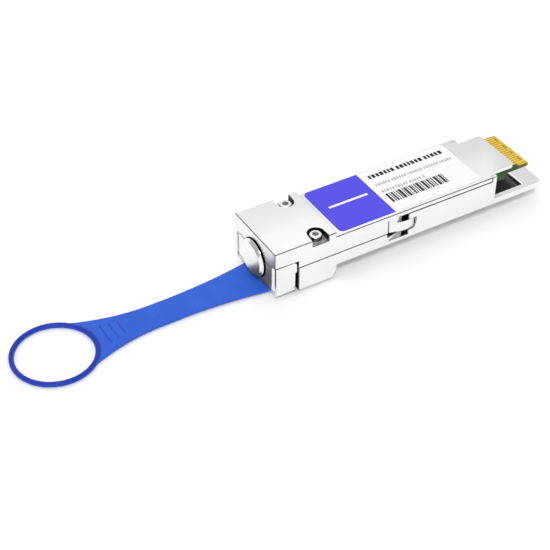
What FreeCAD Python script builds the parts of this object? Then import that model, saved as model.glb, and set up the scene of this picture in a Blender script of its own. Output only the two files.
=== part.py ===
import FreeCAD, Part
import math
import os

# Pluggable loopback module with a pull-tab latch, in millimetres.
# X runs from the pull ring to the card edge, Y across, Z up.
# The origin is on the centre line of the body's underside, at the shoulder behind the head.

# Outside of the shell
body_width = 18.35
body_height = 8.5
tongue_length = 15.0
head_length = 16.6
head_rise = 1.25
head_drop = 3.44
heel_offset = 0.36
heel_height = 1.11
heel_run = 1.06
tongue_height = 1.86
tongue_corner = 2.0
tongue_end_bevel = 0.6
wall_post_length = 1.4
nose_edge_round = 1.2

# Parting of the shell into a lower and an upper casting
seam_height = 3.41
nose_seam_height = 5.11
skirt_wall = 0.775
skirt_end = 14.4
cover_edge = 1.24
cover_web = 0.6
cover_length = 45.0
cover_neck_length = 1.6
cover_neck_inset = 0.875
cover_tongue_length = 6.55
cover_tongue_width = 14.0
cover_tongue_corner = 0.9
boss_length = 8.0
board_rib_length = 6.0
board_rib_width = 0.7

# Inside of the lower casting
floor_thickness = 1.0
inner_wall = 0.8
tongue_floor_length = 5.9
cavity_lead = 0.45
cavity_wall = 1.275
front_bay_depth = 8.6

# Nose port and its plug
port_radius = 4.0
port_height = 2.99
port_break_in = 1.0
plug_flange_radius = 4.75
plug_flange_thickness = 0.8
plug_flange_bevel = 0.7
plug_stand_off = 0.35
plug_spigot_length = 5.0

# Cover screws in their open pockets
screw_x = -4.3
screw_spread = 13.4
screw_head_radius = 1.6
screw_head_height = 1.3
screw_head_bevel = 0.25
screw_radius = 0.8
screw_length = 2.6
socket_lobes = 6
socket_lobe_radius = 0.85
socket_waist_radius = 0.6
socket_depth = 0.7
screw_hole_radius = 1.0
pocket_radius = 2.15
pocket_centre_spread = 13.7
pocket_depth = 1.59

# Latch slider, a folded sheet
sheet = 0.6
plate_length = 5.46
plate_setback = 0.25
plate_shoulder = 0.42
plate_lift = 0.45
plate_top = 5.36
plate_corner = 1.0
slit_width = 0.96
slit_depth = 1.5
web_margin = 0.3
web_hole_radius = 0.65
bend_radius = 0.5
joggle_length = 0.9
joggle_lead = 0.2
arm_inset = 0.875
arm_height = 2.7
arm_middle = 3.8
tip_reach = 2.1
tip_corner = 0.8
kick_length = 5.2
kick_height = 0.6
ear_x = 7.0
ear_height = 2.1
latch_travel = 3.0

# Latch pockets in the flanks
latch_pocket_length = 5.9
latch_pocket_lead = 0.2
latch_pocket_depth = 1.45
latch_pocket_low = 1.15
latch_slot_length = 0.95
tip_room_below = 0.08
tip_room_above = 0.27

# Return springs
spring_length = 6.0
spring_turns = 3
spring_radius = 0.82
spring_wire_radius = 0.14
spring_wire_sides = 5

# Circuit board and what it carries
board_cover_gap = 0.23
board_thickness = 1.0
board_front = 3.4
board_side_margin = 0.875
board_shoulder_reach = 3.5
board_shoulder_corner = 1.0
relief_length = 3.2
relief_depth = 1.3
relief_margin = 0.5
card_width = 13.54
card_inset = 3.35
card_bevel = 0.25
pad_pattern = "LSSLLSSLLSLLSSL"
pad_pitch = 0.835
pad_width = 0.6
pad_shift = 0.33
pad_thickness = 0.05
pad_cover_lap = 2.15
pad_end_inset = 0.6
short_pad_inset = 1.3
chip_length = 4.4
chip_width = 3.0
chip_height = 1.0
chip_stand_off = 0.1
chip_inset = 15.0
lead_count = 4
lead_pitch = 0.65
lead_width = 0.25
lead_thickness = 0.15
lead_span = 6.4
lead_foot = 0.6
small_part_length = 1.0
small_part_width = 0.5
capacitor_height = 0.5
resistor_height = 0.35
coupling_inset = 5.0
coupling_count = 8
coupling_pitch = 1.6
bypass_offset = 3.5
bypass_count = 2
pullup_offset = 4.5
pullup_count = 4
side_part_pitch = 1.4

# Label on the cover
label_front = 1.7
label_rear_margin = 2.6
label_width = 16.95
label_shift = 0.27
label_corner = 1.2
label_thickness = 0.1

# Pull tab
tab_thickness = 0.55
tab_root_length = 4.7
tab_root_width = 11.5
tab_waist_width = 7.6
tab_waist_start = 22.0
tab_waist_end = 25.7
tab_ring_angle = 47.6
tab_level_run = 15.23
tab_stud_spread = 3.6
tab_stud_count = 3
ring_reach = 51.23
ring_radius = 9.58
ring_tube_radius = 0.63
ring_tube_sides = 10
ring_lift = 0.0
ridge_radius = 0.35
ridge_gaps = (5.82, 3.87, 1.77)
ridge_lengths = (4.5, 6.0, 6.7)

# Clearances
fit_gap = 0.05
slide_gap = 0.12
web_gap = 0.2
tip_gap = 0.15
beyond = 5.0

# Sizes worked out from the values above
half_width = body_width / 2
head_top = body_height + head_rise
rim_height = body_height - cover_edge
nose_x = -head_length
side_wall_end = cover_length + wall_post_length
body_length = side_wall_end + tongue_length
cavity_end = body_length - tongue_floor_length
port_depth = head_length - front_bay_depth + port_break_in
plate_low = plate_lift - head_drop
plate_front = nose_x + plate_setback
plate_rear = nose_x + plate_length
skid_front = plate_rear + slit_width
web_top = plate_low + sheet
nose_floor = web_top + web_gap
nose_half = half_width - sheet - slide_gap
skirt_inner = half_width - skirt_wall
arm_outer = half_width - arm_inset
arm_inner = arm_outer - sheet
arm_low = arm_middle - arm_height / 2
arm_high = arm_middle + arm_height / 2
channel_inner = arm_inner - slide_gap
ear_rear = ear_x + sheet
spring_front = ear_x - spring_length
spring_outer = spring_radius + spring_wire_radius
spring_y = arm_inner - slide_gap - spring_outer
ear_inner = spring_y - spring_outer
latch_wall = skirt_end + latch_pocket_length
arm_tip = latch_wall + tip_reach
board_top = rim_height - board_cover_gap
board_low = board_top - board_thickness
board_shoulder = side_wall_end + board_shoulder_reach
card_end = body_length - card_inset
board_half = half_width - board_side_margin
cavity_half = half_width - cavity_wall
front_bay_half = ear_inner - slide_gap - inner_wall
arm_bay_half = channel_inner - inner_wall
arm_bay_front = ear_rear + slide_gap + inner_wall
rear_bay_front = arm_tip + tip_gap + inner_wall
cover_tongue_end = cover_length + cover_neck_length + cover_tongue_length
pad_start = cover_tongue_end - pad_cover_lap
chip_x = cover_length - chip_inset
label_rear = cover_length - label_rear_margin
ring_x = nose_x - ring_reach
ring_z = ring_lift - head_drop


def vector(x, y, z):
    return FreeCAD.Vector(x, y, z)


def block(x, y, z):
    """Box between the (low, high) pair given for each axis."""
    size = [high - low for low, high in (x, y, z)]
    return Part.makeBox(size[0], size[1], size[2], vector(x[0], y[0], z[0]))


def side_prism(points, y):
    """Side profile of (x, z) points, drawn across between the (low, high) pair."""
    corners = [vector(x, y[0], z) for x, z in points]
    face = Part.Face(Part.makePolygon(corners + corners[:1]))
    return face.extrude(vector(0, y[1] - y[0], 0))


def plan_prism(points, z):
    """Plan of (x, y) points, drawn up between the (low, high) pair."""
    corners = [vector(x, y, z[0]) for x, y in points]
    face = Part.Face(Part.makePolygon(corners + corners[:1]))
    return face.extrude(vector(0, 0, z[1] - z[0]))


def round_section(radius, sides, centre_x, centre_z):
    """Closed polygon about a round section, in the plane of X and Z."""
    corners = []
    for step in range(sides):
        turn = 2 * math.pi * (step + 0.5) / sides
        corners.append(vector(centre_x + radius * math.cos(turn), 0, centre_z + radius * math.sin(turn)))
    return Part.makePolygon(corners + corners[:1])


def mirrored(shape):
    return shape.mirror(vector(0, 0, 0), vector(0, 1, 0))


def both_sides(shapes):
    """The shapes of the -Y side, with their images on the +Y side."""
    return shapes + [mirrored(shape) for shape in shapes]


def fused(shapes):
    return shapes[0].multiFuse(shapes[1:]).removeSplitter()


def edges_at(shape, test):
    """Straight edges whose two ends both pass the test."""
    chosen = []
    for edge in shape.Edges:
        ends = [vertex.Point for vertex in edge.Vertexes]
        if len(ends) == 2 and all(test(point) for point in ends):
            chosen.append(edge)
    return chosen


def near(value, target):
    return abs(value - target) < 1e-4


def plate_with_corners(x, y, z, radius):
    """Flat plate with its four upright edges rounded."""
    plate = block(x, y, z)
    upright = [edge for edge in plate.Edges if near(edge.Length, z[1] - z[0])]
    corners = [edge for edge in upright if near(edge.Vertexes[0].X, edge.Vertexes[1].X)
               and near(edge.Vertexes[0].Y, edge.Vertexes[1].Y)]
    return plate.makeFillet(radius, corners)


def arm_channel():
    """Room for one latch arm and its joggle over the whole travel."""
    height = (arm_low - slide_gap, arm_high + slide_gap)
    run = block((skid_front, arm_tip + tip_gap), (-skirt_inner, -channel_inner), height)
    joggle = block((plate_rear - joggle_lead - latch_travel - tip_gap, skid_front + fit_gap),
                   (-nose_half - fit_gap, -channel_inner), height)
    return run.fuse(joggle)


def port_bore():
    return Part.makeCylinder(port_radius, port_depth + beyond,
                             vector(nose_x - beyond, 0, port_height), vector(1, 0, 0))


def slider_clearance():
    """Room beside the nose for one side plate of the slider, with the slit behind it."""
    height = (-head_drop - beyond, plate_top + slide_gap)
    plate_room = block((nose_x - beyond, skid_front), (-half_width - beyond, -nose_half), height)
    slit = block((plate_rear, skid_front), (-half_width, -nose_half + slit_depth), height)
    return plate_room.fuse(slit)


def latch_pocket():
    """Wedge in one flank that a cage finger drops into, with the window of the arm."""
    wedge = plan_prism([(skirt_end + latch_pocket_lead, -half_width),
                        (skirt_end, -half_width - beyond),
                        (latch_wall, -half_width - beyond),
                        (latch_wall, -half_width + latch_pocket_depth)],
                       (latch_pocket_low, rim_height))
    window = block((skirt_end, latch_wall),
                   (-half_width - beyond, -channel_inner),
                   (arm_low - slide_gap, arm_high + slide_gap))
    slot = block((latch_wall - latch_slot_length, latch_wall),
                 (-half_width - beyond, -channel_inner), (latch_pocket_low, rim_height))
    notch_rear = arm_tip + tip_gap
    notch_low = arm_low - tip_room_below
    notch = block((latch_wall - slide_gap, notch_rear), (-half_width - beyond, -channel_inner),
                  (notch_low, arm_high + tip_room_above))
    corner = edges_at(notch, lambda p: near(p.x, notch_rear) and near(p.z, notch_low))
    return [wedge, window, slot, notch.makeFillet(tip_corner, corner)]


def board_relief(gap):
    """Recess in one edge of the board beside the latch pocket, or with a gap the wall that fills it."""
    return block((latch_wall - relief_length + gap, latch_wall + relief_margin - gap),
                 (-half_width - beyond, -board_half + relief_depth - gap),
                 (board_low - beyond, board_top + beyond))


def spring_pocket():
    return block((spring_front, ear_rear + slide_gap),
                 (-channel_inner - fit_gap, -ear_inner + slide_gap),
                 (arm_middle - ear_height / 2 - slide_gap, arm_middle + ear_height / 2 + slide_gap))


def screw_hole(radius, low, high):
    return Part.makeCylinder(radius, high - low, vector(screw_x, -screw_spread / 2, low))


def lower_housing():
    profile = [(nose_x, nose_floor), (skid_front, nose_floor), (skid_front, -head_drop),
               (heel_offset - heel_run, -head_drop), (heel_offset, -heel_height), (heel_offset, 0),
               (body_length, 0), (body_length, tongue_height - tongue_end_bevel),
               (body_length - tongue_end_bevel, tongue_height), (side_wall_end, tongue_height),
               (side_wall_end, body_height), (cover_length + fit_gap, body_height),
               (cover_length + fit_gap, rim_height), (-boss_length, rim_height),
               (-boss_length, nose_seam_height), (nose_x, nose_seam_height)]
    rounded_plan = plate_with_corners((nose_x - beyond, body_length), (-half_width, half_width),
                                      (-head_drop, body_height), tongue_corner)
    shell = side_prism(profile, (-half_width, half_width)).common(rounded_plan)

    skirt_seat = block((skid_front, skirt_end), (-half_width - beyond, -skirt_inner + fit_gap),
                       (seam_height, body_height + beyond))
    screw_seat = screw_hole(screw_radius + fit_gap, body_height - screw_length, body_height)
    flank_cuts = [slider_clearance(), skirt_seat, arm_channel(), spring_pocket(), screw_seat]
    flank_cuts += latch_pocket()

    top = body_height + beyond
    front_bay = block((-front_bay_depth, arm_bay_front + fit_gap),
                      (-front_bay_half, front_bay_half), (floor_thickness, top))
    arm_bay = block((arm_bay_front, rear_bay_front + fit_gap), (-arm_bay_half, arm_bay_half),
                    (floor_thickness, top))
    bay_profile = [(rear_bay_front, floor_thickness), (cavity_end, floor_thickness),
                   (cavity_end, tongue_height - cavity_lead), (cavity_end + cavity_lead, tongue_height),
                   (cavity_end + cavity_lead, top), (rear_bay_front, top)]
    rear_bay = side_prism(bay_profile, (-cavity_half, cavity_half))
    board_seat = block((board_front - fit_gap, body_length), (-board_half - fit_gap, board_half + fit_gap),
                       (board_low, top)).cut(both_sides([board_relief(fit_gap)]))
    shell = shell.cut(both_sides(flank_cuts) + [front_bay, arm_bay, rear_bay, board_seat, port_bore()])
    nose_edges = edges_at(shell, lambda p: near(p.x, nose_x) and near(abs(p.y), nose_half))
    return shell.makeFillet(nose_edge_round, nose_edges)


def screw_pocket():
    """Pocket for one cover screw, open to the flank."""
    low = head_top - pocket_depth
    centre_y = -pocket_centre_spread / 2
    round_end = Part.makeCylinder(pocket_radius, pocket_depth + beyond, vector(screw_x, centre_y, low))
    mouth = block((screw_x - pocket_radius, screw_x + pocket_radius),
                  (-half_width - beyond, centre_y), (low, head_top + beyond))
    return round_end.fuse(mouth)


def upper_housing():
    profile = [(nose_x, nose_seam_height), (-boss_length, nose_seam_height), (-boss_length, rim_height),
               (cover_length, rim_height), (cover_length, body_height), (0, body_height),
               (0, head_top), (nose_x, head_top)]
    plate = side_prism(profile, (-half_width, half_width))
    neck_half = half_width - cover_neck_inset
    neck = block((cover_length - fit_gap, cover_length + cover_neck_length), (-neck_half, neck_half),
                 (rim_height, body_height))
    tongue_half = cover_tongue_width / 2
    tongue = plate_with_corners((cover_length - cover_tongue_corner, cover_tongue_end),
                                (-tongue_half, tongue_half), (rim_height, body_height), cover_tongue_corner)
    skirt = block((skid_front, skirt_end), (-half_width, -skirt_inner), (seam_height, body_height))
    shell = fused([plate, neck, tongue] + both_sides([skirt]))

    screw_way = screw_hole(screw_hole_radius, rim_height - fit_gap, head_top)
    flank_cuts = [slider_clearance(), arm_channel(), screw_pocket(), screw_way]
    part_recess = block((board_front, cover_length - inner_wall), (-arm_bay_half, arm_bay_half),
                        (rim_height - fit_gap, body_height - cover_web))
    shell = shell.cut(both_sides(flank_cuts) + [part_recess, port_bore()])

    rib_y = (-board_half + fit_gap, -board_half + fit_gap + board_rib_width)
    rear_rib = block((cover_length - board_rib_length, cover_length), rib_y, (board_top, rim_height))
    front_rib = block((board_front, board_front + board_rib_length), rib_y, (board_top, rim_height))
    return fused([shell] + both_sides([rear_rib, front_rib]))


def label():
    half = label_width / 2
    return plate_with_corners((label_front, label_rear),
                              (label_shift - half, label_shift + half),
                              (body_height, body_height + label_thickness), label_corner)


def lobed_socket(y, top):
    """Star-shaped socket in the head of one screw."""
    corners = []
    for step in range(2 * socket_lobes):
        turn = math.pi * step / socket_lobes
        radius = socket_waist_radius if step % 2 else socket_lobe_radius
        corners.append((screw_x + radius * math.cos(turn), y + radius * math.sin(turn)))
    return plan_prism(corners, (top - socket_depth, top + beyond))


def cover_screw(y):
    """One screw with a bevelled head and a lobed socket."""
    seat = head_top - pocket_depth
    top = seat + screw_head_height
    head = Part.makeCylinder(screw_head_radius, screw_head_height, vector(screw_x, y, seat))
    rim = [edge for edge in head.Edges if near(edge.BoundBox.ZMin, top) and near(edge.BoundBox.ZMax, top)]
    head = head.makeChamfer(screw_head_bevel, rim)
    low = body_height - screw_length + fit_gap
    shank = Part.makeCylinder(screw_radius, seat - low + fit_gap, vector(screw_x, y, low))
    return fused([head, shank]).cut(lobed_socket(y, top))


def cover_screws():
    return Part.makeCompound([cover_screw(side * screw_spread / 2) for side in (-1, 1)])


def port_plug():
    """Turned plug whose flange stands a little off the nose."""
    axis = vector(1, 0, 0)
    flange_rear = nose_x - plug_stand_off
    flange_front = flange_rear - plug_flange_thickness
    flange = Part.makeCylinder(plug_flange_radius, plug_flange_thickness,
                               vector(flange_front, 0, port_height), axis)
    rim = [edge for edge in flange.Edges if near(edge.BoundBox.XMin, flange_front)
           and near(edge.BoundBox.XMax, flange_front)]
    flange = flange.makeChamfer(plug_flange_bevel, rim)
    spigot = Part.makeCylinder(port_radius - fit_gap, plug_spigot_length + plug_stand_off,
                               vector(flange_rear, 0, port_height), axis)
    return fused([flange, spigot])


def circuit_board():
    wide = block((board_front, board_shoulder), (-board_half, board_half), (board_low, board_top))
    shoulders = edges_at(wide, lambda p: near(p.x, board_shoulder))
    upright = [edge for edge in shoulders if near(edge.Length, board_thickness)]
    wide = wide.makeFillet(board_shoulder_corner, upright)
    card_half = card_width / 2
    card = block((board_shoulder - board_shoulder_corner, card_end), (-card_half, card_half),
                 (board_low, board_top))
    lead_in = edges_at(card, lambda p: near(p.x, card_end))
    across = [edge for edge in lead_in if near(edge.Length, card_width)]
    card = card.makeChamfer(card_bevel, across)
    return fused([wide, card]).cut(both_sides([board_relief(0)]))


def contacts(z):
    """Row of contact pads on one face of the card edge, long and short."""
    pads = []
    first_y = pad_pitch * (len(pad_pattern) - 1) / 2
    for place, kind in enumerate(pad_pattern):
        y = pad_shift + first_y - place * pad_pitch
        inset = pad_end_inset if kind == "L" else short_pad_inset
        pads.append(block((pad_start, card_end - inset), (y - pad_width / 2, y + pad_width / 2), z))
    return Part.makeCompound(pads)


def chip_lead(x):
    """One bent lead on the -Y side of the chip."""
    body_side = -chip_length / 2
    toe = -lead_span / 2
    heel = toe + lead_foot
    foot = board_low - lead_thickness
    shoulder = board_low - chip_stand_off - chip_height / 2
    points = [(body_side + lead_thickness, shoulder), (body_side + lead_thickness, shoulder + lead_thickness),
              (heel, shoulder + lead_thickness), (heel, board_low), (toe, board_low), (toe, foot),
              (heel - lead_thickness, foot), (heel - lead_thickness, shoulder)]
    corners = [vector(x - lead_width / 2, y, z) for y, z in points]
    return Part.Face(Part.makePolygon(corners + corners[:1])).extrude(vector(lead_width, 0, 0))


def memory_chip():
    """Moulded chip under the board, with bent leads on two sides."""
    body = block((chip_x - chip_width / 2, chip_x + chip_width / 2), (-chip_length / 2, chip_length / 2),
                 (board_low - chip_stand_off - chip_height, board_low - chip_stand_off))
    leads = [chip_lead(chip_x + (place - (lead_count - 1) / 2) * lead_pitch) for place in range(lead_count)]
    return fused([body] + both_sides(leads))


def small_parts(x, count, pitch, z):
    """Row of chip parts across the board."""
    parts = []
    for place in range(count):
        y = (place - (count - 1) / 2) * pitch
        parts.append(block((x - small_part_length / 2, x + small_part_length / 2),
                           (y - small_part_width / 2, y + small_part_width / 2), z))
    return Part.makeCompound(parts)


def latch_arm():
    """One arm of the slider: a joggle in from the side plate, a long run and a kicked-out tip."""
    joggle_end = plate_rear - joggle_lead + joggle_length
    joggle_start = joggle_end - joggle_length
    kick_start = arm_tip - kick_length
    kick_top = arm_tip - kick_length / 3

    def face(inset):
        start = vector(plate_rear - plate_length / 2, -half_width + inset, arm_low)
        bend_out = vector(joggle_start, -half_width + inset, arm_low)
        bend_in = vector(joggle_end, -arm_outer + inset, arm_low)
        kick_in = vector(kick_start, -arm_outer + inset, arm_low)
        kick_peak = vector(kick_top, -arm_outer - kick_height + inset, arm_low)
        tip = vector(arm_tip, -arm_outer - kick_height / 2 + inset, arm_low)
        straight = [Part.makeLine(start, bend_out), Part.makeLine(bend_out, bend_in),
                    Part.makeLine(bend_in, kick_in)]
        return straight + [Part.Arc(kick_in, kick_peak, tip).toShape()], start, tip

    outer, outer_start, outer_tip = face(0)
    inner, inner_start, inner_tip = face(sheet)
    ends = [Part.makeLine(outer_start, inner_start), Part.makeLine(outer_tip, inner_tip)]
    outline = Part.Wire(Part.__sortEdges__(outer + inner + ends))
    arm = Part.Face(outline).extrude(vector(0, 0, arm_height))
    return arm.makeFillet(tip_corner, edges_at(arm, lambda p: near(p.x, arm_tip) and near(p.z, arm_low)))


def latch_slider():
    shoulder_rear = plate_rear + plate_shoulder
    profile = [(plate_front, plate_low), (plate_rear, plate_low), (plate_rear, arm_low),
               (shoulder_rear, arm_low), (shoulder_rear, plate_top), (plate_front, plate_top)]
    plate = side_prism(profile, (-half_width, -half_width + sheet))
    corner = edges_at(plate, lambda p: near(p.x, shoulder_rear) and near(p.z, plate_top))
    plate = plate.makeFillet(plate_corner, corner)
    ear = block((ear_x, ear_rear), (-arm_inner - sheet / 2, -ear_inner),
                (arm_middle - ear_height / 2, arm_middle + ear_height / 2))
    web = block((plate_front + web_margin, plate_rear - web_margin), (-half_width, half_width),
                (plate_low, web_top))
    slider = fused([web] + both_sides([plate, latch_arm(), ear]))
    bends = edges_at(slider, lambda p: near(abs(p.y), half_width) and near(p.z, plate_low))
    slider = slider.makeFillet(bend_radius, [edge for edge in bends if edge.Length > plate_length / 2])
    holes = [Part.makeCylinder(web_hole_radius, beyond, vector(tab_stud_x(), y, plate_low - beyond / 2))
             for y in tab_stud_places()]
    return slider.cut(holes)


def tab_stud_x():
    return nose_x + plate_length / 2


def tab_stud_places():
    return [(place - (tab_stud_count - 1) / 2) * tab_stud_spread for place in range(tab_stud_count)]


def tab_plan():
    """Plan of the strap: flared root, straight waist, and flanks that run into the ring."""
    root_rear = nose_x + tab_root_length
    root_half = tab_root_width / 2
    waist_half = tab_waist_width / 2
    waist_start = nose_x - tab_waist_start
    waist_end = nose_x - tab_waist_end
    outer_radius = ring_radius + ring_tube_radius
    turn = math.radians(tab_ring_angle)
    flare_run = waist_end - ring_x - outer_radius * math.cos(turn)
    flare_rise = outer_radius * math.sin(turn) - waist_half

    def widening(x, run, rise, side):
        """Arc that leaves the waist along X and widens the strap by the rise over the run."""
        radius = (run ** 2 + rise ** 2) / (2 * rise)
        half_turn = math.asin(run / radius) / 2
        start = vector(x, side * waist_half, 0)
        bend = vector(x + radius * math.sin(half_turn),
                      side * (waist_half + radius * (1 - math.cos(half_turn))), 0)
        end = vector(x + run, side * (waist_half + rise), 0)
        return Part.Arc(start, bend, end).toShape(), start, end

    def flank(side):
        root_corner = vector(root_rear, side * root_half, 0)
        in_ring = vector(ring_x + ring_radius * math.cos(turn), side * ring_radius * math.sin(turn), 0)
        root_arc, waist_a, root_front = widening(waist_start, tab_waist_start, root_half - waist_half, side)
        flare_arc, waist_b, on_ring = widening(waist_end, -flare_run, flare_rise, side)
        edges = [Part.makeLine(root_corner, root_front), root_arc, Part.makeLine(waist_a, waist_b),
                 flare_arc, Part.makeLine(on_ring, in_ring)]
        return edges, root_corner, in_ring

    near_edges, near_corner, near_end = flank(-1)
    far_edges, far_corner, far_end = flank(1)
    ring_side = vector(ring_x + ring_radius, 0, 0)
    closing = [Part.makeLine(near_corner, far_corner), Part.Arc(near_end, ring_side, far_end).toShape()]
    outline = Part.Wire(Part.__sortEdges__(near_edges + far_edges + closing))
    face = Part.Face(outline)
    face.translate(vector(0, 0, -head_drop - beyond))
    return face.extrude(vector(0, 0, head_drop + 2 * beyond))


def pull_tab():
    """Moulded strap under the web, dropping slightly to the ring, with grip ridges."""
    ring_top = ring_z + tab_thickness / 2
    tops = [(nose_x + tab_root_length + beyond, plate_low), (nose_x, plate_low),
            (ring_x + tab_level_run, ring_top), (ring_x, ring_top)]
    bottoms = [(x, z - tab_thickness) for x, z in reversed(tops)]
    strap = side_prism(tops + bottoms, (-half_width, half_width)).common(tab_plan())
    tube = Part.Face(round_section(ring_tube_radius, ring_tube_sides, ring_x + ring_radius, ring_z))
    ring = tube.revolve(vector(ring_x, 0, ring_z), vector(0, 0, 1), 360)
    ridges = []
    ring_edge = ring_x + ring_radius + ring_tube_radius
    for gap, length in zip(ridge_gaps, ridge_lengths):
        ridges.append(Part.makeCylinder(ridge_radius, length, vector(ring_edge + gap, -length / 2, ring_z),
                                        vector(0, 1, 0)))
    studs = [Part.makeCylinder(web_hole_radius - fit_gap, sheet + tab_thickness / 2,
                               vector(tab_stud_x(), y, plate_low - tab_thickness / 2))
             for y in tab_stud_places()]
    return fused([strap, ring] + ridges + studs)


def return_spring(side):
    """Coil spring between the pocket's front wall and the ear of one arm."""
    pitch = (spring_length - 2 * spring_wire_radius - 2 * fit_gap) / spring_turns
    coil = Part.makeHelix(pitch, pitch * spring_turns, spring_radius)
    section = round_section(spring_wire_radius, spring_wire_sides, spring_radius, 0)
    wire = Part.Wire(coil.Edges).makePipeShell([section], True, True)
    wire.rotate(vector(0, 0, 0), vector(0, 1, 0), 90)
    wire.translate(vector(spring_front + spring_wire_radius + fit_gap, side * spring_y, arm_middle))
    return wire


nodes = {
    "lower_housing": lower_housing(),
    "upper_housing": upper_housing(),
    "label": label(),
    "cover_screws": cover_screws(),
    "port_plug": port_plug(),
    "circuit_board": circuit_board(),
    "upper_contacts": contacts((board_top, board_top + pad_thickness)),
    "lower_contacts": contacts((board_low - pad_thickness, board_low)),
    "memory_chip": memory_chip(),
    "coupling_capacitors": small_parts(cover_length - coupling_inset, coupling_count, coupling_pitch,
                                       (board_top, board_top + capacitor_height)),
    "bypass_capacitors": small_parts(chip_x + bypass_offset, bypass_count, side_part_pitch,
                                     (board_low - capacitor_height, board_low)),
    "pullup_resistors": small_parts(chip_x - pullup_offset, pullup_count, side_part_pitch,
                                    (board_low - resistor_height, board_low)),
    "latch_slider": latch_slider(),
    "pull_tab": pull_tab(),
    "return_spring_left": return_spring(1),
    "return_spring_right": return_spring(-1),
}

os.makedirs("parts", exist_ok=True)
for name, shape in nodes.items():
    shape.exportStep("parts/" + name + ".step")
    print(name, "solids", len(shape.Solids), "valid", shape.isValid(), "volume", round(shape.Volume, 3))
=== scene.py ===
import bmesh
import bpy
import math
from mathutils import Matrix, Vector


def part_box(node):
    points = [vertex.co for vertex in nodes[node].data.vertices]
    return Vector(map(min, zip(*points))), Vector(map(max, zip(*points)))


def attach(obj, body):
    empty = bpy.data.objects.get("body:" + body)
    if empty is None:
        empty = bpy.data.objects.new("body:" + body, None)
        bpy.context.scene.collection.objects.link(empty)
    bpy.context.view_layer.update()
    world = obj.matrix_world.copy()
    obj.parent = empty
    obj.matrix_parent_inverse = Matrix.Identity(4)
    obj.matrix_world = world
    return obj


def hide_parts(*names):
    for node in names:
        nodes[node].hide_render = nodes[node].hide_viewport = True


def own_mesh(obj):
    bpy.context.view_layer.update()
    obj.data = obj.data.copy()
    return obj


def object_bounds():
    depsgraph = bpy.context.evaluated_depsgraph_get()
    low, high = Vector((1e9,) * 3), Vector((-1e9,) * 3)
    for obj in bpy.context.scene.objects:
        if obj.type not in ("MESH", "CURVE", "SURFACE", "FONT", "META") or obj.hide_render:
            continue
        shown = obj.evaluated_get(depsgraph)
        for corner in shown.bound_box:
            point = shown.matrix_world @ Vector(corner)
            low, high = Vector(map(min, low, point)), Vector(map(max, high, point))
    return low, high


# Looks of the pluggable loopback module, in metres, in the frame of its solids.
# X runs from the pull ring to the card edge, Y across, Z up.

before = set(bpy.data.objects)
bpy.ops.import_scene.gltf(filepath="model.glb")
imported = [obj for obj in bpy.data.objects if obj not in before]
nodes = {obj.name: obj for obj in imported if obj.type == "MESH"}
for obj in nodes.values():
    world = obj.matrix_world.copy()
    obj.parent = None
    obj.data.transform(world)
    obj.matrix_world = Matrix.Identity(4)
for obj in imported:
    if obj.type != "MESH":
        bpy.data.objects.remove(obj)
cad_low, cad_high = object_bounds()
MM = 0.001


def mm(*values):
    """Lengths given in millimetres, in metres."""
    return tuple(value * MM for value in values)


def box_reach(*ranges):
    """Ranges along the axes, given in millimetres, in metres."""
    return tuple(mm(*pair) for pair in ranges)


def word_gaps(length, gap, word_gap):
    """Gaps after the blocks of one word of the given length."""
    return mm(*[gap] * (length - 1), word_gap)


def tone(red, green, blue):
    return (red, green, blue, 1.0)


def grey(level):
    return tone(level, level, level)


def greys(low, high):
    return (grey(low), grey(high))


# Camera, fitted to the edges of the body in the photograph
camera_azimuth = -30.667
camera_elevation = 40.076
camera_place = (-0.140930, -0.218858, 0.209197)
camera_lens = 91.546
camera_sensor = 36.0
camera_clip = (0.01, 100.0)

# Light
sky_centre = (0.1, 0.35, 0.93)
sky_stops = ((0.0, 0.36), (0.5, 0.38), (0.7, 0.52), (0.84, 0.8), (0.92, 1.0))
sky_level = 1.1
horizon_band = (0.15, 0.25)
key_place = (-0.63, -1.06, 1.58)
key_size = 0.45
key_power = 18.6
strip_place = (0.055, 0.053, 0.075)
strip_aim = (0.47, 0.64, 0.61)
strip_size = (0.085, 0.026)
strip_power = 0.0012
floor_albedo = 0.94
# Floor glow near and far from the object: dimmer near it, as a painted shade around it
floor_glow = (0.055, 0.8)
glow_reach = (0.05, 2.5)
floor_half = 3.0

# Edge breaks on the metal
shell_edge = 0.16 * MM
sheet_edge = 0.08 * MM
screw_edge = 0.1 * MM
plug_edge = 0.04 * MM
least_edge = 0.9 * MM
rear_edge_start = 45.2 * MM
rear_edge_change = 0.1 * MM
thin_lands = (box_reach((14.3, 17.3), (6.9, 9.2), (5.0, 7.3)),
              box_reach((-11.0, -9.9), (7.4, 9.2), (2.0, 5.6)))
flat_limit = math.radians(0.5)
smooth_limit = math.radians(21)
sharp_limit = math.radians(25)
face_weight = 100
weld_gap = 0.001 * MM

# Painted shade and shadow in the shell and on the slider
# Painted shade in the cavity under the cover, a little lighter towards its open end
cavity_shade_reach = box_reach((-10.2, 55.45), (0.0, 8.0), (0.95, 7.25))
cavity_fade = 54.4 * MM
cavity_fade_width = 2.4 * MM
cavity_fade_share = 0.12
# Painted shadow along the seam, at the skirt's end, under the arm and in the slit
seam_shadow_reach = box_reach((17.3, 45.15), (8.9, 9.3), (7.08, 7.44))
skirt_end_shadow_reach = box_reach((14.38, 14.66), (8.6, 9.3), (5.3, 7.3))
# Painted shadow on the slider where the arms leave the skirts
arm_root_shadow_reach = box_reach((13.9, 15.35), (7.0, 9.3), (2.4, 5.3))
arm_gap_shadow_reach = box_reach((14.4, 17.6), (7.0, 8.85), (2.15, 2.5))
slit_shadow_reach = box_reach((-11.2, -10.1), (6.0, 9.05), (-3.5, 5.52))
# Screw pockets, with painted shade on their walls and floors
pocket_reach = box_reach((-6.55, -2.05), (4.6, 9.12), (8.1, 9.72))
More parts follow.
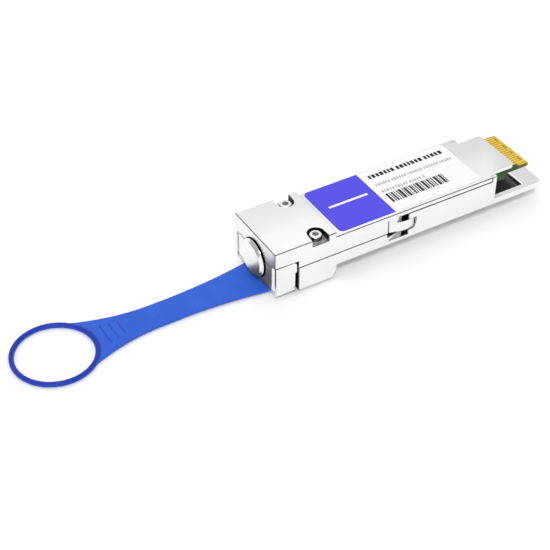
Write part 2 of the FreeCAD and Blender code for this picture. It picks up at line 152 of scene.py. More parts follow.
# Painted shade on the slider's joggles
joggle_shade_reach = box_reach((-11.3, -9.9), (7.0, 9.08), (2.0, 5.6))
wall_limit = 0.5

# Spans of the noise, a share and a sine, and the noise's detail and widest size
noise_span = (0.3, 0.7)
full_span = (0.0, 1.0)
sine_span = (-1.0, 1.0)
soft_detail = 2.0
plain_detail = 3.0
fine_detail = 4.0
cloud_size = 6 * MM

# Plated shell
plated_tones = greys(0.885, 0.915)
plated_rough = (0.12, 0.16)
# Dark tones of the painted shade in hollows, gaps and seams
painted_shade_tones = greys(0.012, 0.03)
# Shaded grey painted on the screw pockets' floors
pocket_shade_tones = greys(0.6, 0.75)
inner_rough = 0.35
nose_rough = 0.18
cast_grain = 0.12 * MM
metal_bump = 0.001 * MM

# Broken edges, painted dark as shade and darker still as a painted shadow at the seam, and cut edges
dark_edge_shade_tones = greys(0.12, 0.18)
seam_shadow_tones = greys(0.015, 0.04)
cut_edge_tones = greys(0.17, 0.24)
edge_rough = (0.2, 0.3)
edge_grain = 0.1 * MM

# Latch slider and return springs
# Painted shade on the slider's joggles and arm roots
joggle_shade_tones = greys(0.03, 0.07)
slider_rough = (0.13, 0.19)
slider_grain = 0.12 * MM
brush_stretch = (0.08, 1, 1)
spring_tones = greys(0.5, 0.62)
spring_rough = (0.25, 0.4)
spring_grain = 0.1 * MM
spring_bump = 0.003 * MM

# Cover screws
socket_radius = 0.87 * MM
socket_chamfer = 0.06 * MM
screw_face_tones = greys(0.86, 0.92)
# Painted shade on the screw heads' sides and in their sockets
screw_side_shade_tones = greys(0.06, 0.1)
socket_shade_tones = greys(0.5, 0.6)
screw_rough = (0.18, 0.26)
screw_grain = 0.1 * MM
screw_bump = 0.002 * MM

# Plug, and the painted shadow in the gap behind its flange
flange_back = -17.0 * MM
nose_plane = -16.5 * MM
port_shadow_radius = 5.0 * MM
gap_shadow_tone = grey(0.03)
turned_tones = greys(0.86, 0.93)
turned_rough = (0.2, 0.27)
turned_pitch = 0.16 * MM
turned_cloud = 3 * MM
turned_strength = 0.1

# Board and contacts
mask_end = 55.0 * MM
mask_change = 0.4 * MM
bare_strip_end = 57.1 * MM
bare_strip_change = 0.1 * MM
cut_brown_change = 1.5 * MM
card_bare_start = 57.5 * MM
card_bare_change = 0.5 * MM
board_face_limit = 0.6
board_face_change = 0.2
mask_greens = (tone(0.012, 0.085, 0.012), tone(0.022, 0.12, 0.022))
gap_browns = (tone(0.24, 0.13, 0.02), tone(0.32, 0.18, 0.03))
bare_olives = (tone(0.54, 0.44, 0.02), tone(0.64, 0.53, 0.03))
cut_greens = (tone(0.014, 0.06, 0.008), tone(0.026, 0.09, 0.014))
cut_browns = (tone(0.12, 0.08, 0.008), tone(0.2, 0.13, 0.012))
board_gloss = 0.25
board_rough = (0.32, 0.45)
board_weave = 0.35 * MM
board_bump = 0.004 * MM
board_strength = 0.4
gold_tones = (tone(0.92, 0.58, 0.05), tone(0.97, 0.64, 0.08))
gold_rough = (0.3, 0.4)
gold_grain = 0.15 * MM
gold_metallic = 0.5

# Small parts on the board
tinned_share = 0.28
lead_reach = 0.98 * MM
tin_change = 0.02 * MM
tin_tone = grey(0.72)
ceramic_tones = (tone(0.32, 0.2, 0.1), tone(0.42, 0.28, 0.16))
ceramic_rough = (0.35, 0.5)
resistor_tones = greys(0.015, 0.04)
resistor_rough = (0.3, 0.45)
chip_tones = greys(0.012, 0.03)
chip_rough = (0.5, 0.65)
small_grain = 0.12 * MM
small_bump = 0.003 * MM
small_strength = 0.4

# Label and its print
field_split = 17.0 * MM
field_change = 0.03 * MM
label_blues = (tone(0.078, 0.061, 0.77), tone(0.088, 0.071, 0.81))
label_whites = greys(0.93, 0.965)
label_gloss = 0.3
label_rough = (0.42, 0.55)
label_fibre = 0.3 * MM
label_bump = 0.002 * MM
label_strength = 0.3
black_ink = greys(0.008, 0.025)
pale_ink = greys(0.42, 0.5)
white_ink = greys(0.9, 0.96)
ink_gloss = 0.2
ink_rough = (0.5, 0.65)
ink_speckle = 0.08 * MM
print_thickness = 0.015 * MM
heading_place = box_reach((18.9, 40.6), (5.45, 6.85))
heading_widths = mm(0.62, 0.86, 0.74, 0.9, 0.68)
heading_gaps = word_gaps(7, 0.34, 0.8)
upper_line_place = box_reach((18.7, 41.5), (2.25, 3.15))
upper_line_widths = mm(0.36, 0.5, 0.44, 0.58)
upper_line_gaps = word_gaps(6, 0.26, 0.6)
lower_line_place = box_reach((18.6, 31.0), (-0.65, 0.25))
lower_line_widths = mm(0.5, 0.38, 0.56, 0.42)
lower_line_gaps = word_gaps(5, 0.26, 0.6)
code_place = box_reach((18.6, 35.6), (-5.0, -1.4))
code_widths = mm(0.62, 0.26, 0.5, 0.24, 0.34, 0.7, 0.26)
code_gaps = mm(0.36, 0.24, 0.3, 0.42, 0.22)
field_bar_place = box_reach((4.2, 15.1), (0.55, 1.25))

# Pull tab with its ring and ridges
ring_radius = 9.58 * MM
ring_tube = 0.63 * MM
ring_change = 0.3 * MM
ridge_places = mm(-51.8, -53.75, -55.85)
ridge_lengths = mm(4.5, 6.0, 6.7)
ridge_shade = 0.34 * MM
strap_blues = (tone(0.022, 0.105, 0.62), tone(0.027, 0.122, 0.67))
ring_blue = tone(0.009, 0.037, 0.42)
# Painted shade beside the ridges
ridge_shade_blue = tone(0.014, 0.062, 0.42)
tab_gloss = 0.25
tab_rough = (0.38, 0.5)
tab_cloud = 7 * MM
tab_grain = 0.14 * MM
tab_bump = 0.004 * MM
tab_strength = 0.35
tab_cell = 0.14 * MM
tab_soft_share = 0.5
tab_soft_rounds = 5


def link(obj):
    bpy.context.scene.collection.objects.link(obj)
    return obj


class Nodes:
    """Builds the nodes of one tree."""

    def __init__(self, tree):
        self.tree = tree

    def node(self, kind, **settings):
        made = self.tree.nodes.new(kind)
        for name, value in settings.items():
            setattr(made, name, value)
        return made

    def feed(self, socket, value):
        """Links a socket, or sets it to a plain value."""
        if isinstance(value, bpy.types.NodeSocket):
            self.tree.links.new(value, socket)
        else:
            socket.default_value = value

    def axis(self, name, source):
        made = self.node("ShaderNodeSeparateXYZ")
        self.feed(made.inputs["Vector"], source)
        return made.outputs[name]

    def math(self, operation, first, second=0.0):
        made = self.node("ShaderNodeMath", operation=operation)
        self.feed(made.inputs[0], first)
        self.feed(made.inputs[1], second)
        return made.outputs["Value"]

    def largest(self, first, *others):
        for other in others:
            first = self.math("MAXIMUM", first, other)
        return first

    def inside(self, places, reach):
        """1 where three places lie in the ranges of a box and 0 elsewhere."""
        total = 1.0
        for place, (low, high) in zip(places, reach):
            total = self.math("MULTIPLY", total, self.math("GREATER_THAN", place, low))
            total = self.math("MULTIPLY", total, self.math("LESS_THAN", place, high))
        return total

    def spread(self, value, target, source=noise_span):
        """The value carried from one span to another."""
        made = self.node("ShaderNodeMapRange")
        self.feed(made.inputs["Value"], value)
        made.inputs["From Min"].default_value, made.inputs["From Max"].default_value = source
        made.inputs["To Min"].default_value, made.inputs["To Max"].default_value = target
        return made.outputs["Result"]

    def seen_directly(self):
        """1 for camera, glossy and transmission rays, 0 for the rest."""
        path = self.node("ShaderNodeLightPath")
        rays = ("Is Camera Ray", "Is Glossy Ray", "Is Transmission Ray")
        return self.largest(*[path.outputs[name] for name in rays])


class Finish(Nodes):
    """A material and the nodes that it is built from."""

    def __init__(self, name, **values):
        self.material = bpy.data.materials.new(name)
        self.material.use_nodes = True
        super().__init__(self.material.node_tree)
        self.shader = self.tree.nodes["Principled BSDF"]
        for socket, value in values.items():
            self.shader.inputs[socket.replace("_", " ")].default_value = value
        self.place = self.node("ShaderNodeTexCoord").outputs["Object"]

    def along(self, name):
        """The place on the surface along one axis."""
        return self.axis(name, self.place)

    def noise(self, size, detail=plain_detail, stretch=(1, 1, 1)):
        """Noise whose features are about the given size."""
        mapping = self.node("ShaderNodeMapping")
        mapping.inputs["Scale"].default_value = stretch
        self.feed(mapping.inputs["Vector"], self.place)
        made = self.node("ShaderNodeTexNoise")
        self.feed(made.inputs["Vector"], mapping.outputs["Vector"])
        made.inputs["Scale"].default_value = 1 / size
        made.inputs["Detail"].default_value = detail
        return made.outputs["Fac"]

    def cloud(self, size=cloud_size):
        """Wide noise carried to the full span."""
        return self.spread(self.noise(size), full_span)

    def blend(self, factor, first, second):
        """First colour at factor 0, second at factor 1."""
        made = self.node("ShaderNodeMix", data_type="RGBA")
        self.feed(made.inputs["Factor"], factor)
        self.feed(made.inputs["A"], first)
        self.feed(made.inputs["B"], second)
        return made.outputs["Result"]

    def step(self, value, edge, width):
        """0 below the edge and 1 above it, with a soft change of the given width."""
        return self.spread(value, full_span, (edge - width / 2, edge + width / 2))

    def within(self, reach):
        """1 inside a box on both sides of the centre line and 0 outside it."""
        places = (self.along("X"), self.math("ABSOLUTE", self.along("Y")), self.along("Z"))
        return self.inside(places, reach)

    def distance(self, first, second):
        """Length of the vector with two given components."""
        squares = (self.math("MULTIPLY", first, first), self.math("MULTIPLY", second, second))
        return self.math("SQRT", self.math("ADD", *squares))

    def level(self):
        """1 on level faces, falling to 0 on walls."""
        geometry = self.node("ShaderNodeNewGeometry")
        return self.math("ABSOLUTE", self.axis("Z", geometry.outputs["Normal"]))

    def upright(self):
        """1 on walls and 0 on level faces."""
        return self.math("LESS_THAN", self.level(), wall_limit)

    def port_distance(self):
        """Distance from the axis of the plug."""
        low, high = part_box("port_plug")
        up = self.math("SUBTRACT", self.along("Z"), (low.z + high.z) / 2)
        return self.distance(self.along("Y"), up)

    def colour(self, value):
        self.feed(self.shader.inputs["Base Color"], value)

    def roughness(self, value):
        self.feed(self.shader.inputs["Roughness"], value)

    def bump(self, height, depth, strength=0.5):
        made = self.node("ShaderNodeBump")
        made.inputs["Strength"].default_value = strength
        made.inputs["Distance"].default_value = depth
        self.feed(made.inputs["Height"], height)
        self.feed(self.shader.inputs["Normal"], made.outputs["Normal"])


def metal(name, tones, rough, grain, depth, metallic=1.0):
    """Metal with a slight change of tone, roughness and grain over its surface."""
    made = Finish(name, Metallic=metallic)
    fine = made.noise(grain, fine_detail)
    made.colour(made.blend(made.cloud(), *tones))
    made.roughness(made.spread(fine, rough))
    made.bump(fine, depth)
    return made.material


def cast_shell():
    """Plated outside, with painted shade: dark in the cavity, slit, seams, gaps, pocket walls and on
    the nose around the plug's flange, and a shaded grey on the screw pockets' floors.
    """
    made = Finish("cast_shell", Metallic=1.0)
    fine = made.noise(cast_grain, fine_detail)
    plated = made.blend(made.cloud(), *plated_tones)
    # Screw pockets: painted shade on their walls and a shaded grey on their floors
    pocket = made.within(pocket_reach)
    pocket_wall_shade = made.math("MULTIPLY", pocket, made.upright())
    # Painted shade in the cavity, a little lighter towards its open end
    open_end = made.step(made.along("X"), cavity_fade, cavity_fade_width)
    open_end = made.math("MULTIPLY", open_end, cavity_fade_share)
    cavity = made.math("MULTIPLY", made.within(cavity_shade_reach), made.math("SUBTRACT", 1.0, open_end))
    # Painted shadow in the slit, at the skirt's end, along the seam and under the arm
    gaps = [made.within(reach) for reach in (slit_shadow_reach, skirt_end_shadow_reach, seam_shadow_reach, arm_gap_shadow_reach)]
    # Painted shadow on the nose around the plug's flange
    nose = made.math("LESS_THAN", made.along("X"), nose_plane)
    port = made.math("LESS_THAN", made.port_distance(), port_shadow_radius)
    port = made.math("MULTIPLY", port, nose)
    # Every place of painted shade, coloured with the dark tones below
    inside = made.largest(cavity, *gaps, pocket_wall_shade, port)
    outside = made.blend(pocket, plated, made.blend(fine, *pocket_shade_tones))
    made.colour(made.blend(inside, outside, made.blend(fine, *painted_shade_tones)))
    rough = made.math("MULTIPLY", made.largest(inside, pocket), inner_rough)
    rough = made.largest(rough, made.math("MULTIPLY", nose, nose_rough))
    made.roughness(made.math("ADD", rough, made.spread(fine, plated_rough)))
    made.bump(fine, metal_bump)
    return made.material


def painted_shade_edge():
    """Broken edges of the shell, painted dark as shade on the side walls and darker as a painted
    shadow at the seam, plated at the rear.
    """
    made = Finish("painted_shade_edge", Metallic=1.0)
    fine = made.noise(edge_grain, fine_detail)
    # Painted shade that darkens the edges on the side walls
    painted_dark = made.blend(fine, *dark_edge_shade_tones)
    plated = made.blend(fine, *plated_tones)
    rear = made.step(made.along("X"), rear_edge_start, rear_edge_change)
    edge = made.blend(rear, painted_dark, plated)
    # Painted shadow at the seam
    made.colour(made.blend(made.within(seam_shadow_reach), edge, made.blend(fine, *seam_shadow_tones)))
    made.roughness(made.spread(fine, edge_rough))
    made.bump(fine, metal_bump)
    return made.material


def slider_steel():
    """Polished sheet, with painted shade in the joggles and a painted shadow where the arms leave the
    skirts.
    """
    made = Finish("slider_steel", Metallic=1.0)
    brushed = made.noise(slider_grain, fine_detail, brush_stretch)
    polished = made.blend(made.cloud(), *plated_tones)
    # Painted shade in the joggles and painted shadow at the arm roots
    dark = made.largest(made.within(joggle_shade_reach), made.within(arm_root_shadow_reach))
    made.colour(made.blend(dark, polished, made.blend(brushed, *joggle_shade_tones)))
    made.roughness(made.spread(brushed, slider_rough))
    made.bump(brushed, metal_bump)
    return made.material


def screw_steel():
    """Machined heads, with painted shade on their sides and in their sockets."""
    low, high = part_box("cover_screws")
    head_radius = (high.x - low.x) / 2
    made = Finish("screw_steel", Metallic=1.0)
    fine = made.noise(screw_grain, fine_detail)
    along = made.math("SUBTRACT", made.along("X"), (low.x + high.x) / 2)
    across = made.math("SUBTRACT", made.math("ABSOLUTE", made.along("Y")), high.y - head_radius)
    near = made.math("LESS_THAN", made.distance(along, across), socket_radius)
    deep = made.math("LESS_THAN", made.along("Z"), high.z - socket_chamfer)
    socket = made.math("MULTIPLY", near, deep)
    face = made.blend(fine, *screw_face_tones)
    head = made.blend(made.upright(), face, made.blend(fine, *screw_side_shade_tones))
    made.colour(made.blend(socket, head, made.blend(fine, *socket_shade_tones)))
    made.roughness(made.spread(fine, screw_rough))
    made.bump(fine, screw_bump)
    return made.material


def plug_metal():
    """Turned face with fine rings about the plug's axis, and a painted shadow on the part behind the
    flange.
    """
    made = Finish("plug_metal", Metallic=1.0)
    rings = made.math("SINE", made.math("MULTIPLY", made.port_distance(), 2 * math.pi / turned_pitch))
    turned = made.blend(made.cloud(turned_cloud), *turned_tones)
    # Painted shadow on the part behind the flange
    behind = made.math("GREATER_THAN", made.along("X"), flange_back)
    made.colour(made.blend(behind, turned, gap_shadow_tone))
    made.roughness(made.spread(rings, turned_rough, sine_span))
    made.bump(rings, metal_bump, turned_strength)
    return made.material


def board_laminate():
    """Green mask over the laminate, bare laminate at the card edge and on the cut edges."""
    made = Finish("board_laminate", Specular_IOR_Level=board_gloss)
    weave = made.noise(board_weave, soft_detail)
    along = made.along("X")
    olive = made.blend(weave, *bare_olives)
    cut = made.blend(made.step(along, mask_end, cut_brown_change),
                     made.blend(weave, *cut_greens), made.blend(weave, *cut_browns))
    cut = made.blend(made.step(along, card_bare_start, card_bare_change), cut, olive)
    face = made.blend(made.step(along, mask_end, mask_change), made.blend(weave, *mask_greens), olive)
    pads_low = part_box("upper_contacts")[0]
    pad_gaps = made.math("MULTIPLY", made.math("GREATER_THAN", along, mask_end),
                         made.math("GREATER_THAN", made.along("Y"), pads_low.y))
    face = made.blend(pad_gaps, face, made.blend(weave, *gap_browns))
    face = made.blend(made.step(along, bare_strip_end, bare_strip_change), face, olive)
    made.colour(made.blend(made.step(made.level(), board_face_limit, board_face_change), cut, face))
    made.roughness(made.spread(weave, board_rough))
    made.bump(weave, board_bump, board_strength)
    return made.material


def tinned_ends(name, tones, rough, axis, centre, half):
    """Small part whose ends, beyond the half length from its centre, are tinned."""
    made = Finish(name)
    grain = made.noise(small_grain)
    away = made.math("ABSOLUTE", made.math("SUBTRACT", made.along(axis), centre))
    tin = made.step(away, half, tin_change)
    made.colour(made.blend(tin, made.blend(grain, *tones), tin_tone))
    made.feed(made.shader.inputs["Metallic"], tin)
    made.roughness(made.spread(grain, rough))
    made.bump(grain, small_bump, small_strength)
    return made.material


def small_part(name, node, tones, rough):
    low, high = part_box(node)
    half = (high.x - low.x) * (0.5 - tinned_share)
    return tinned_ends(name, tones, rough, "X", (low.x + high.x) / 2, half)


def chip_black():
    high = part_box("memory_chip")[1]
    return tinned_ends("chip_black", chip_tones, chip_rough, "Y", 0.0, high.y - lead_reach)


def label_film():
    """Coated film, blue towards the head and white towards the card edge."""
    made = Finish("label_film", Specular_IOR_Level=label_gloss)
    fibre = made.noise(label_fibre)
    split = made.step(made.along("X"), field_split, field_change)
    made.colour(made.blend(split, made.blend(fibre, *label_blues), made.blend(fibre, *label_whites)))
    made.roughness(made.spread(fibre, label_rough))
    made.bump(fibre, label_bump, label_strength)
    return made.material


def print_ink(name, tones):
    made = Finish(name, Specular_IOR_Level=ink_gloss)
    speckle = made.noise(ink_speckle, soft_detail)
    made.colour(made.blend(speckle, *tones))
    made.roughness(made.spread(speckle, ink_rough))
    return made.material


def tab_plastic():
    """Moulded plastic with a faint grain, darker on the ring, and with painted shade beside the
    ridges.
    """
    made = Finish("tab_plastic", Specular_IOR_Level=tab_gloss)
    grain = made.noise(tab_grain, fine_detail)
    low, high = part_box("pull_tab")
    from_ring = made.math("SUBTRACT", made.along("X"), low.x + (high.y - low.y) / 2)
    across = made.along("Y")
    from_tube = made.math("SUBTRACT", made.distance(from_ring, across), ring_radius)
    off_ring = made.step(made.math("ABSOLUTE", from_tube), ring_tube, ring_change)
    strap = made.blend(made.cloud(tab_cloud), *strap_blues)
    blue = made.blend(made.math("SUBTRACT", 1.0, off_ring), strap, ring_blue)
    # Painted shade on one side of each ridge
    for place, length in zip(ridge_places, ridge_lengths):
        beside = made.math("ABSOLUTE", made.math("SUBTRACT", made.along("X"), place + ridge_shade))
        shade = made.math("SUBTRACT", 1.0, made.step(beside, ridge_shade / 2, ridge_shade))
        on_ridge = made.math("LESS_THAN", made.math("ABSOLUTE", across), length / 2)
        blue = made.blend(made.math("MULTIPLY", shade, on_ridge), blue, ridge_shade_blue)
    made.colour(blue)
    made.roughness(made.spread(grain, tab_rough))
    made.bump(grain, tab_bump, tab_strength)
    return made.material


def node_group(name):
    group = bpy.data.node_groups.new(name, "GeometryNodeTree")
    for way in ("INPUT", "OUTPUT"):
        group.interface.new_socket(name="Geometry", in_out=way, socket_type="NodeSocketGeometry")
    return group, group.nodes.new("NodeGroupInput"), group.nodes.new("NodeGroupOutput")


def chain(group, *steps):
    """Passes the geometry from each step to the next."""
    for first, second in zip(steps, steps[1:]):
        group.links.new(first.outputs["Geometry"], second.inputs["Geometry"])


def welding_group():
    """Joins the facets of a solid at their shared corners."""
    group, start, end = node_group("weld_facets")
    plain = group.nodes.new("GeometryNodeRemoveAttribute")
    plain.inputs["Name"].default_value = "custom_normal"
    weld = group.nodes.new("GeometryNodeMergeByDistance")
    weld.inputs["Distance"].default_value = weld_gap
    chain(group, start, plain, weld, end)
    return group


def shading_group():
    """Smooth shading, apart from edges sharper than the limit."""
    group, start, end = node_group("shade_by_angle")
    faces = group.nodes.new("GeometryNodeSetShadeSmooth")
    edges = group.nodes.new("GeometryNodeSetShadeSmooth")
    edges.domain = "EDGE"
    edges.inputs["Shade Smooth"].default_value = False
    angle = group.nodes.new("GeometryNodeInputMeshEdgeAngle")
    sharp = group.nodes.new("FunctionNodeCompare")
    sharp.inputs["B"].default_value = smooth_limit
    group.links.new(angle.outputs["Unsigned Angle"], sharp.inputs["A"])
    group.links.new(sharp.outputs["Result"], edges.inputs["Selection"])
    chain(group, start, faces, edges, end)
    return group


def edge_group(name, least_length):
    """Marks the outer edges to break, apart from short ones and those beside a thin land."""
    group, start, end = node_group(name)
    build = Nodes(group)
    angle = build.node("GeometryNodeInputMeshEdgeAngle").outputs["Signed Angle"]
    ends = build.node("GeometryNodeInputMeshEdgeVertices")
    span = build.node("ShaderNodeVectorMath", operation="DISTANCE")
    for socket, corner in zip(span.inputs, ("Position 1", "Position 2")):
        build.feed(socket, ends.outputs[corner])
    place = build.node("GeometryNodeInputPosition").outputs["Position"]
    places = (build.axis("X", place), build.math("ABSOLUTE", build.axis("Y", place)),
              build.axis("Z", place))
    outer = build.math("GREATER_THAN", angle, sharp_limit)
    long_enough = build.math("GREATER_THAN", span.outputs["Value"], least_length)
    weight = build.math("MULTIPLY", outer, long_enough)
    for reach in thin_lands:
        clear = build.math("SUBTRACT", 1.0, build.inside(places, reach))
        weight = build.math("MULTIPLY", weight, clear)
    store = build.node("GeometryNodeStoreNamedAttribute", data_type="FLOAT", domain="EDGE")
    store.inputs["Name"].default_value = "bevel_weight_edge"
    build.feed(store.inputs["Value"], weight)
    chain(group, start, store, end)
    return group


weld_facets = welding_group()
edge_breaks = edge_group("edge_breaks", least_edge)
round_breaks = edge_group("round_breaks", 0.0)
shade_by_angle = shading_group()


def group_modifier(obj, group):
    made = obj.modifiers.new(group.name, "NODES")
    made.node_group = group


def dressed(node, material, edge=0.0, edge_material=None, breaks=edge_breaks):
    """A node's own object with its finish and broken edges."""
    obj = nodes[node]
    obj.data.materials.clear()
    obj.data.materials.append(material)
    group_modifier(obj, weld_facets)
    if edge:
        flat = obj.modifiers.new("flat_faces", "DECIMATE")
        flat.decimate_type = "DISSOLVE"
        flat.angle_limit = flat_limit
        group_modifier(obj, breaks)
        broken = obj.modifiers.new("broken_edges", "BEVEL")
        broken.width = edge
        broken.segments = 1
        broken.limit_method = "WEIGHT"
        broken.use_clamp_overlap = False
        broken.miter_outer = "MITER_ARC"
        if edge_material:
            obj.data.materials.append(edge_material)
            broken.material = 1
    group_modifier(obj, shade_by_angle)
    if edge:
        weighted = obj.modifiers.new("flat_shading", "WEIGHTED_NORMAL")
        weighted.keep_sharp = True
        weighted.weight = face_weight
    return obj


def bars(name, places, material):
    """Printed bars on the label, each given as (x, y) ranges."""
    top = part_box("label")[1].z
    mesh = bpy.data.meshes.new(name)
    build = bmesh.new()
    for (x_low, x_high), (y_low, y_high) in places:
        for vert in bmesh.ops.create_cube(build, size=1.0)["verts"]:
            vert.co.x = x_low if vert.co.x < 0 else x_high
            vert.co.y = y_low if vert.co.y < 0 else y_high
            vert.co.z = top if vert.co.z < 0 else top + print_thickness
    build.to_mesh(mesh)
    build.free()
    mesh.materials.append(material)
    obj = link(bpy.data.objects.new(name, mesh))
    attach(obj, "module")


def print_row(place, widths, gaps):
    """Row of plain bars, whose widths and gaps repeat in turn."""
    (start, end), height = place
    places = []
    while start + widths[len(places) % len(widths)] <= end:
        width = widths[len(places) % len(widths)]
        gap = gaps[len(places) % len(gaps)]
        places.append(((start, start + width), height))
        start += width + gap
    return places


def printed_label():
    """The film, and plain bars in the places of its print."""
    dressed("label", label_film())
    black = print_ink("print_black", black_ink)
    pale = print_ink("print_pale", pale_ink)
    white = print_ink("print_white", white_ink)
    upper_line = print_row(upper_line_place, upper_line_widths, upper_line_gaps)
    lower_line = print_row(lower_line_place, lower_line_widths, lower_line_gaps)
    bars("label_heading", print_row(heading_place, heading_widths, heading_gaps), black)
    bars("label_small_print", upper_line + lower_line, pale)
    bars("label_bar_code", print_row(code_place, code_widths, code_gaps), black)
    bars("label_field_bar", [field_bar_place], white)


def remade(node, name, material, reshape):
    """A new object from a node's mesh, with the modifiers that reshape adds."""
    source = link(bpy.data.objects.new(name + "_source", nodes[node].data.copy()))
    group_modifier(source, weld_facets)
    reshape(source)
    graph = bpy.context.evaluated_depsgraph_get()
    mesh = bpy.data.meshes.new_from_object(source.evaluated_get(graph))
    bpy.data.objects.remove(source)
    mesh.materials.clear()
    mesh.materials.append(material)
    mesh.shade_smooth()
    return link(bpy.data.objects.new(name, mesh))


def soft_edges(source):
    cells = source.modifiers.new("cells", "REMESH")
    cells.mode = "VOXEL"
    cells.voxel_size = tab_cell
    soft = source.modifiers.new("soft", "SMOOTH")
    soft.factor = tab_soft_share
    soft.iterations = tab_soft_rounds


def round_wire(source):
    source.modifiers.new("round_wire", "SUBSURF").levels = 1


def moulded_tab():
    """The strap and ring as one moulding, with every edge and joint softened."""
    obj = remade("pull_tab", "moulded_tab", tab_plastic(), soft_edges)
    obj.visible_glossy = False
    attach(obj, "latch")
    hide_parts("pull_tab")


def coil(node, finish):
    """A return spring, with its wire rounded, on the module."""
    obj = remade(node, node + "_coil", finish, round_wire)
    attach(obj, "module")
    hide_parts(node)
    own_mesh(obj)


def metal_pieces():
    shell = cast_shell()
    shell_breaks = painted_shade_edge()
    for node in ("lower_housing", "upper_housing"):
        dressed(node, shell, shell_edge, shell_breaks)
    cut_edge = metal("cut_edge", cut_edge_tones, edge_rough, edge_grain, metal_bump)
    dressed("latch_slider", slider_steel(), sheet_edge, cut_edge)
    dressed("port_plug", plug_metal(), plug_edge, breaks=round_breaks)
    dressed("cover_screws", screw_steel(), screw_edge, breaks=round_breaks)


def return_springs():
    spring_steel = metal("spring_steel", spring_tones, spring_rough, spring_grain, spring_bump)
    for node in ("return_spring_left", "return_spring_right"):
        coil(node, spring_steel)


def board_pieces():
    dressed("circuit_board", board_laminate()).visible_glossy = False
    gold = metal("contact_gold", gold_tones, gold_rough, gold_grain, metal_bump, gold_metallic)
    for node in ("upper_contacts", "lower_contacts"):
        dressed(node, gold).visible_glossy = False
    dressed("memory_chip", chip_black())
    for node in ("coupling_capacitors", "bypass_capacitors"):
        dressed(node, small_part(node + "_finish", node, ceramic_tones, ceramic_rough))
    resistor = small_part("resistor_dark", "pullup_resistors", resistor_tones, resistor_rough)
    dressed("pullup_resistors", resistor)


def white_floor():
    """Pale floor that keeps the object's shadow; its glow, seen directly and in reflections, is
    dimmer near the object as a painted shade around it.
    """
    made = bpy.data.materials.new("floor_white")
    made.use_nodes = True
    made.node_tree.nodes.clear()
    build = Nodes(made.node_tree)
    matt = build.node("ShaderNodeBsdfDiffuse")
    matt.inputs["Color"].default_value = grey(floor_albedo)
    away = build.node("ShaderNodeVectorMath", operation="LENGTH")
    build.feed(away.inputs[0], build.node("ShaderNodeTexCoord").outputs["Object"])
    growth = build.spread(away.outputs["Value"], floor_glow, glow_reach)
    glow = build.node("ShaderNodeEmission")
    build.feed(glow.inputs["Strength"], build.math("MULTIPLY", build.seen_directly(), growth))
    both = build.node("ShaderNodeAddShader")
    build.feed(both.inputs[0], matt.outputs["BSDF"])
    build.feed(both.inputs[1], glow.outputs["Emission"])
    output = build.node("ShaderNodeOutputMaterial")
    build.feed(output.inputs["Surface"], both.outputs["Shader"])
    mesh = bpy.data.meshes.new("floor")
    signs = ((-1, -1), (1, -1), (1, 1), (-1, 1))
    corners = [(x * floor_half, y * floor_half, cad_low.z) for x, y in signs]
    mesh.from_pydata(corners, [], [(0, 1, 2, 3)])
    mesh.materials.append(made)
    floor = link(bpy.data.objects.new("floor", mesh))


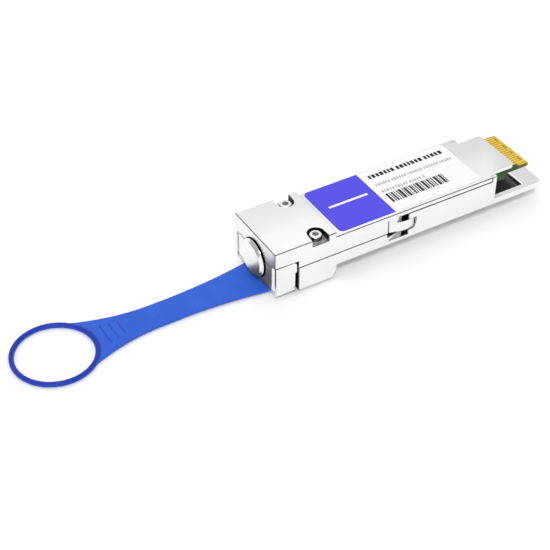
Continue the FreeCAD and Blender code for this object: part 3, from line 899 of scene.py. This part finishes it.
def sky():
    """Soft patch of light overhead; where it is seen directly, the horizon is white."""
    world = bpy.data.worlds.new("sky")
    bpy.context.scene.world = world
    world.use_nodes = True
    world.node_tree.nodes.clear()
    build = Nodes(world.node_tree)
    direction = build.node("ShaderNodeTexCoord").outputs["Generated"]
    towards = build.node("ShaderNodeVectorMath", operation="DOT_PRODUCT")
    build.feed(towards.inputs[0], direction)
    towards.inputs[1].default_value = Vector(sky_centre).normalized()
    ramp = build.node("ShaderNodeValToRGB")
    stops = ramp.color_ramp.elements
    while len(stops) < len(sky_stops):
        stops.new(0.5)
    for stop, (nearness, level) in zip(stops, sky_stops):
        stop.position = nearness
        stop.color = grey(level)
    build.feed(ramp.inputs["Fac"], towards.outputs["Value"])
    light = build.node("ShaderNodeBackground")
    light.inputs["Strength"].default_value = sky_level
    build.feed(light.inputs["Color"], ramp.outputs["Color"])
    white = build.node("ShaderNodeBackground")
    white.inputs["Color"].default_value = grey(1.0)
    low = build.spread(build.axis("Z", direction), (1.0, 0.0), horizon_band)
    mixed = build.node("ShaderNodeMixShader")
    build.feed(mixed.inputs["Fac"], build.math("MULTIPLY", build.seen_directly(), low))
    build.feed(mixed.inputs[1], light.outputs["Background"])
    build.feed(mixed.inputs[2], white.outputs["Background"])
    output = build.node("ShaderNodeOutputWorld")
    build.feed(output.inputs["Surface"], mixed.outputs["Shader"])


def key_light():
    data = bpy.data.lights.new("key", "AREA")
    data.shape = "DISK"
    data.size = key_size
    data.energy = key_power
    lamp = link(bpy.data.objects.new("key", data))
    lamp.location = key_place
    lamp.rotation_mode = "QUATERNION"
    lamp.rotation_quaternion = (-Vector(key_place)).to_track_quat("-Z", "Y")


def strip_light():
    """Dim strip that brightens the near side of the level faces."""
    data = bpy.data.lights.new("strip", "AREA")
    data.shape = "RECTANGLE"
    data.size, data.size_y = strip_size
    data.energy = strip_power
    lamp = link(bpy.data.objects.new("strip", data))
    back = Vector(strip_aim).normalized()
    along = Vector((1, 0, 0)) - back * back.x
    along.normalize()
    turn = Matrix((along, back.cross(along), back)).transposed()
    lamp.matrix_world = Matrix.Translation(strip_place) @ turn.to_4x4()


def camera():
    data = bpy.data.cameras.new("camera")
    data.lens = camera_lens
    data.sensor_width = camera_sensor
    data.clip_start, data.clip_end = camera_clip
    obj = link(bpy.data.objects.new("camera", data))
    azimuth = math.radians(camera_azimuth)
    elevation = math.radians(camera_elevation)
    back = Vector((math.sin(azimuth) * math.cos(elevation),
                   -math.cos(azimuth) * math.cos(elevation),
                   math.sin(elevation)))
    obj.location = camera_place
    obj.rotation_mode = "QUATERNION"
    obj.rotation_quaternion = (-back).to_track_quat("-Z", "Y")
    bpy.context.scene.camera = obj


metal_pieces()
board_pieces()
printed_label()
moulded_tab()
return_springs()
white_floor()
sky()
key_light()
strip_light()
camera()
bpy.context.scene.view_settings.view_transform = "Standard"
